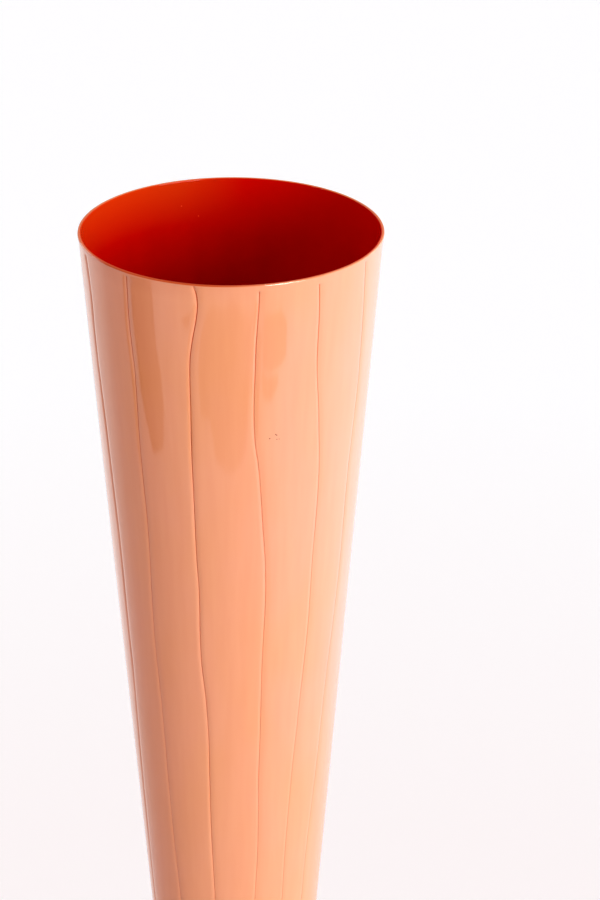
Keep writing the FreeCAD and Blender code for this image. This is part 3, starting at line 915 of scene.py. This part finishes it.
def add_floor(studio):
    """The floor, wide enough to fill every view."""
    half = FLOOR_HALF
    corners = [(-half, -half, 0), (half, -half, 0), (half, half, 0), (-half, half, 0)]
    mesh = bpy.data.meshes.new("floor")
    mesh.from_pydata(corners, [], [(0, 1, 2, 3)])
    mesh.materials.append(white_floor(studio))
    floor = bpy.data.objects.new("floor", mesh)
    bpy.context.scene.collection.objects.link(floor)


def soft_card(card_colour, brightness):
    """Card with a soft edge, clear where its edge attribute is 0."""
    material, tree = start_material("studio card")
    edge = add_node(tree, "ShaderNodeAttribute", attribute_name="edge")
    clear = add_node(tree, "ShaderNodeBsdfTransparent")
    card = add_node(tree, "ShaderNodeEmission", {"Color": card_colour, "Strength": brightness})
    surface = add_node(tree, "ShaderNodeMixShader", {
        0: edge.outputs["Fac"], 1: clear.outputs[0], 2: card.outputs[0]
    })
    add_node(tree, "ShaderNodeOutputMaterial", {"Surface": surface.outputs[0]})
    return material


def add_board(name, board_colour, brightness, points, faces, shares):
    """A glowing board that only the glass mirrors, solid by a share at each of its points."""
    mesh = bpy.data.meshes.new(name)
    mesh.from_pydata(points, [], faces)
    mesh.attributes.new("edge", "FLOAT", "POINT").data.foreach_set("value", shares)
    mesh.materials.append(soft_card(board_colour, brightness))
    board = bpy.data.objects.new(name, mesh)
    for kind in ("camera", "diffuse", "transmission", "shadow", "volume_scatter"):
        setattr(board, "visible_" + kind, False)
    bpy.context.scene.collection.objects.link(board)


def add_cards():
    """Sets up the boards that glint on the lip and lays the dark cards on the floor."""
    level = CARD_LEVEL
    boards = {}
    for name, (brightness, solid, outline) in GLINTS.items():
        boards[name] = (brightness, solid, [
            around(
                GLINT_DISTANCE * cos(radians(rise)), radians(turn),
                GLINT_DISTANCE * sin(radians(rise)) + GLINT_LIFT,
            )
            for turn, rise in outline
        ])
    for name, (brightness, solid, outline) in CARDS.items():
        boards[name] = (brightness, solid, [
            around(distance * MM, radians(turn), level) for turn, distance in outline
        ])
        level -= CARD_GAP
    for name, (brightness, solid, corners) in boards.items():
        middle = sum(corners, Vector()) / len(corners)
        inner = [middle + (corner - middle) * solid for corner in corners]
        count = len(corners)
        faces = []
        for step in range(count):
            after = (step + 1) % count
            faces.append((step, after, after + count, step + count))
        faces.append(tuple(range(count, 2 * count)))
        shares = [0.0] * count + [1.0] * count
        add_board(name + "_card", WHITE, brightness, corners + inner, faces, shares)


def add_sheets():
    """Lays the white sheets on the floor, under the cards."""
    rows = len(SHEET_FADES)
    for name, (hex_colour, brightness, stations) in SHEETS.items():
        points, shares, faces = [], [], []
        for turn, share in stations:
            for distance, fade in SHEET_FADES:
                points.append(around(distance, radians(turn), SHEET_LEVEL))
                shares.append(share * fade)
        for station in range(len(stations) - 1):
            for row in range(rows - 1):
                first = station * rows + row
                faces.append((first, first + 1, first + rows + 1, first + rows))
        add_board(name + "_sheet", linear(hex_colour), brightness, points, faces, shares)


def add_lights(studio):
    """Large soft lights, far enough away to light the floor evenly."""
    for name, turn, rise, spread in LIGHTS:
        light = bpy.data.lights.new(name, "SUN")
        light.energy = getattr(studio, name + "_power")
        light.color = getattr(studio, name)[:3]
        light.angle = radians(spread)
        lamp = bpy.data.objects.new(name, light)
        towards = around(cos(radians(rise)), radians(turn), sin(radians(rise)))
        lamp.rotation_euler = towards.to_track_quat("Z", "Y").to_euler()
        lamp.location = towards * LAMP_DISTANCE
        bpy.context.scene.collection.objects.link(lamp)


def add_camera(shape, studio):
    """The camera, which looks down at the rim from in front."""
    data = bpy.data.cameras.new("camera")
    data.lens = studio.lens
    data.sensor_width = SENSOR_WIDTH
    data.clip_end = SIGHT
    pixels = studio.lens / SENSOR_WIDTH * PICTURE_HEIGHT
    back = Vector((0, -cos(studio.camera_rise), sin(studio.camera_rise)))
    right = Vector((1, 0, 0))
    up = back.cross(right)
    turn = Matrix((right, up, back)).transposed()
    turn = turn @ Matrix.Rotation(-atan(studio.rim_up_px / pixels), 3, "X")
    turn = turn @ Matrix.Rotation(atan(studio.rim_right_px / pixels), 3, "Y")
    turn = turn @ Matrix.Rotation(-studio.camera_roll, 3, "Z")
    camera = bpy.data.objects.new("camera", data)
    camera.matrix_world = Matrix.Translation(
        Vector((0, 0, shape.height)) + back * studio.distance
    ) @ turn.to_4x4()
    bpy.context.scene.collection.objects.link(camera)
    bpy.context.scene.camera = camera


class VASE_OT_outer_casing(bpy.types.Operator):
    """Builds the peach casing with its fourteen creases"""

    bl_idname = "vase.outer_casing"
    bl_label = "Outer casing"

    def execute(self, context):
        shape = context.scene.vase_shape
        mesh = make_casing_mesh(shape)
        material = peach_cased_glass(context.scene.vase_colours, bubble_walls(shape)[0])
        add_piece("outer_casing_glass", mesh, "outer_casing", material)
        return {"FINISHED"}


class VASE_OT_opal_core(bpy.types.Operator):
    """Builds the white opal layer between casing and lining"""

    bl_idname = "vase.opal_core"
    bl_label = "Opal core"

    def execute(self, context):
        shape = context.scene.vase_shape
        mesh = make_core_mesh(shape)
        material = opal_glass(context.scene.vase_colours, bubble_walls(shape)[1])
        add_piece("opal_core_glass", mesh, "opal_core", material)
        return {"FINISHED"}


class VASE_OT_inner_lining(bpy.types.Operator):
    """Builds the orange lining"""

    bl_idname = "vase.inner_lining"
    bl_label = "Inner lining"

    def execute(self, context):
        shape = context.scene.vase_shape
        mesh = make_lining_mesh(shape)
        material = orange_lining_glass(context.scene.vase_colours, bubble_walls(shape)[-1])
        add_piece("inner_lining_glass", mesh, "inner_lining", material)
        return {"FINISHED"}


class VASE_OT_clear_foot(bpy.types.Operator):
    """Builds the clear pieces under the bubble: the merese and the foot"""

    bl_idname = "vase.clear_foot"
    bl_label = "Merese and foot"

    def execute(self, context):
        shape = context.scene.vase_shape
        material = clear_glass(context.scene.vase_colours)
        add_piece("merese_glass", make_merese_mesh(shape), "merese", material)
        add_piece("foot_glass", make_foot_mesh(shape), "foot", material)
        return {"FINISHED"}


class VASE_OT_stage(bpy.types.Operator):
    """Sets up the floor, the light and the camera"""

    bl_idname = "vase.stage"
    bl_label = "Stage"

    def execute(self, context):
        studio = context.scene.vase_studio
        context.scene.view_settings.view_transform = "Standard"
        set_world(studio)
        add_floor(studio)
        add_cards()
        add_sheets()
        add_lights(studio)
        add_camera(context.scene.vase_shape, studio)
        return {"FINISHED"}


class VASE_PT_panel(bpy.types.Panel):
    """Lists the steps that build the vase"""

    bl_idname = "VASE_PT_panel"
    bl_label = "Trumpet vase"
    bl_space_type = "VIEW_3D"
    bl_region_type = "UI"
    bl_category = "Vase"

    def draw(self, context):
        for operator in OPERATORS:
            self.layout.operator(operator.bl_idname)


OPERATORS = (
    VASE_OT_inner_lining, VASE_OT_opal_core, VASE_OT_outer_casing, VASE_OT_clear_foot, VASE_OT_stage,
)
GROUPS = {"vase_shape": VaseShape, "vase_colours": VaseColours, "vase_studio": VaseStudio}


def register():
    for cls in (*GROUPS.values(), *OPERATORS, VASE_PT_panel):
        bpy.utils.register_class(cls)
    for name, group in GROUPS.items():
        setattr(bpy.types.Scene, name, PointerProperty(type=group))


def unregister():
    for name in GROUPS:
        delattr(bpy.types.Scene, name)
    for cls in (VASE_PT_panel, *reversed(OPERATORS), *GROUPS.values()):
        bpy.utils.unregister_class(cls)


def main():
    """Builds the whole scene."""
    register()
    for operator in OPERATORS:
        group, name = operator.bl_idname.split(".")
        getattr(getattr(bpy.ops, group), name)()


if __name__ == "__main__":
    main()
